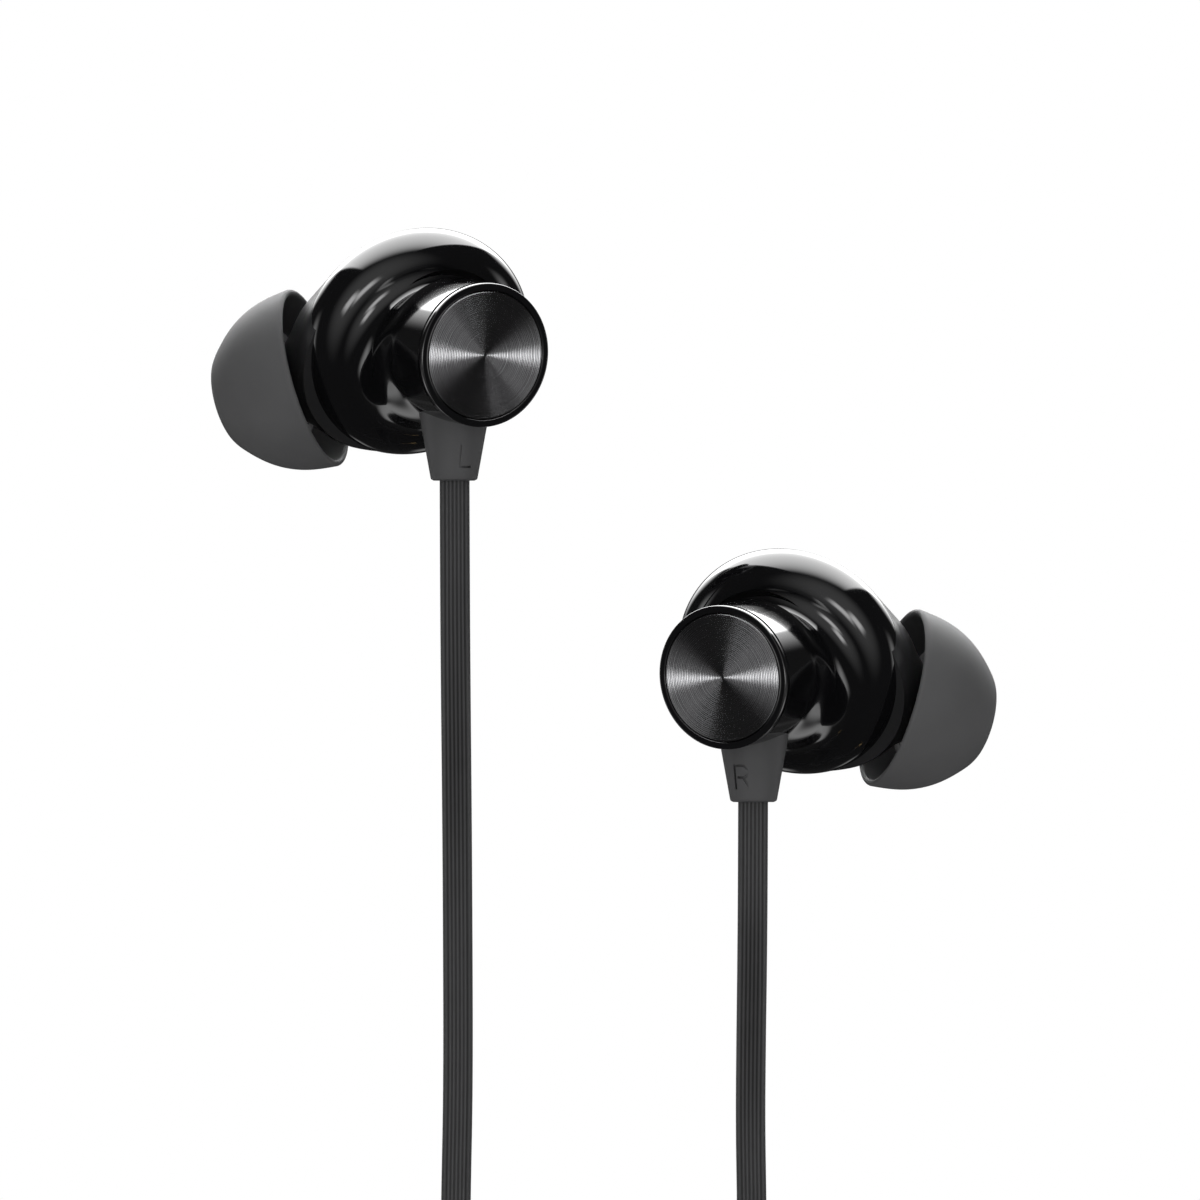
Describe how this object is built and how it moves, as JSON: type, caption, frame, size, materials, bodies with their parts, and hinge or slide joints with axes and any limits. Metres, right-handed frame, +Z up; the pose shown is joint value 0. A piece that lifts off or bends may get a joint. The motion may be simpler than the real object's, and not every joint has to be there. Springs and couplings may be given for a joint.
{
  "type": "wired earphones",
  "caption": "Wired in-ear earphones with angled glossy buds, silicone ear tips, flat ribbed leads, a splitter, an in-line button remote and a slim round plug.",
  "frame": {"origin": "on the table, under the middle of the two buds' common box", "axes": "+X from the left bud to the right, +Y from the leads to the buds, +Z up from the table that they lie on"},
  "size_m": [0.0639, 0.177, 0.0186],
  "materials": {
    "gloss_shell": "high-gloss black moulding",
    "satin_shell": "satin black moulding",
    "spun_metal": "concentric spun finish with a clear anodised coat",
    "steel_mesh": "fine woven mesh",
    "tip_silicone": "matte dark grey silicone",
    "driver_steel": "plated pressed steel",
    "magnet": "nickel-plated neodymium",
    "copper_wire": "enamelled copper winding",
    "film": "thin formed film",
    "circuit_board": "glass-epoxy board with solder mask",
    "soft_rubber": "matte dark grey moulded rubber",
    "lead_jacket": "ribbed matte dark grey jacket",
    "remote_shell": "satin black moulding",
    "button_plastic": "satin dark grey moulding",
    "switch_metal": "pressed metal can",
    "gold_contact": "polished gold plating",
    "insulator": "black insulating plastic",
    "tie_rubber": "matte black silicone tie"
  },
  "bodies": {
    "root": {"left_front_housing": "gloss_shell", "left_rear_housing": "satin_shell", "left_end_cap": "gloss_shell", "left_faceplate": "spun_metal", "left_nozzle_mesh": "steel_mesh", "left_driver_basket": "driver_steel", "left_driver_yoke": "driver_steel", "left_driver_magnet": "magnet", "left_pole_plate": "driver_steel", "left_driver_grille": "driver_steel", "left_driver_board": "circuit_board", "left_strain_relief": "soft_rubber", "left_leg_start": "lead_jacket", "left_leg_end": "lead_jacket", "left_leg_coil": "lead_jacket", "right_front_housing": "gloss_shell", "right_rear_housing": "satin_shell", "right_end_cap": "gloss_shell", "right_faceplate": "spun_metal", "right_nozzle_mesh": "steel_mesh", "right_driver_basket": "driver_steel", "right_driver_yoke": "driver_steel", "right_driver_magnet": "magnet", "right_pole_plate": "driver_steel", "right_driver_grille": "driver_steel", "right_driver_board": "circuit_board", "right_strain_relief": "soft_rubber", "right_leg_start": "lead_jacket", "right_leg_end": "lead_jacket", "right_leg_coil": "lead_jacket", "main_lead_start": "lead_jacket", "main_lead_middle": "lead_jacket", "main_lead_end": "lead_jacket", "main_coil": "lead_jacket", "splitter_back": "remote_shell", "splitter_front": "remote_shell", "remote_back": "remote_shell", "remote_front": "remote_shell", "remote_board": "circuit_board", "remote_switches": "switch_metal", "microphone": "switch_metal", "plug_boot": "soft_rubber", "plug_grip": "remote_shell", "plug_sleeve": "gold_contact", "plug_rings": "gold_contact", "plug_tip": "gold_contact", "plug_insulator": "insulator", "lead_ties": "tie_rubber"},
    "left_ear_tip": {"left_ear_tip": "tip_silicone"},
    "left_diaphragm": {"left_diaphragm": "film", "left_voice_coil": "copper_wire"},
    "right_ear_tip": {"right_ear_tip": "tip_silicone"},
    "right_diaphragm": {"right_diaphragm": "film", "right_voice_coil": "copper_wire"},
    "button_up": {"button_up": "button_plastic"},
    "button_play": {"button_play": "button_plastic"},
    "button_down": {"button_down": "button_plastic"}
  },
  "joints": [
    {"name": "left_tip_pull", "type": "slide", "parent": "root", "child": "left_ear_tip", "axis": [-0.9312, -0.2626, -0.2529], "range_m": [0, 0.005]},
    {"name": "left_diaphragm_travel", "type": "slide", "parent": "root", "child": "left_diaphragm", "axis": [0.3614, -0.3876, 0.848], "range_m": [-0.0002, 0.0002], "stiffness_N_per_m": 12},
    {"name": "right_tip_pull", "type": "slide", "parent": "root", "child": "right_ear_tip", "axis": [0.9312, -0.2626, -0.2529], "range_m": [0, 0.005]},
    {"name": "right_diaphragm_travel", "type": "slide", "parent": "root", "child": "right_diaphragm", "axis": [-0.3614, -0.3876, 0.848], "range_m": [-0.0002, 0.0002], "stiffness_N_per_m": 12},
    {"name": "button_up_press", "type": "slide", "parent": "root", "child": "button_up", "axis": [0, 0, -1], "range_m": [0, 0.0003], "stiffness_N_per_m": 400},
    {"name": "button_play_press", "type": "slide", "parent": "root", "child": "button_play", "axis": [0, 0, -1], "range_m": [0, 0.0003], "stiffness_N_per_m": 400},
    {"name": "button_down_press", "type": "slide", "parent": "root", "child": "button_down", "axis": [0, 0, -1], "range_m": [0, 0.0003], "stiffness_N_per_m": 400}
  ]
}
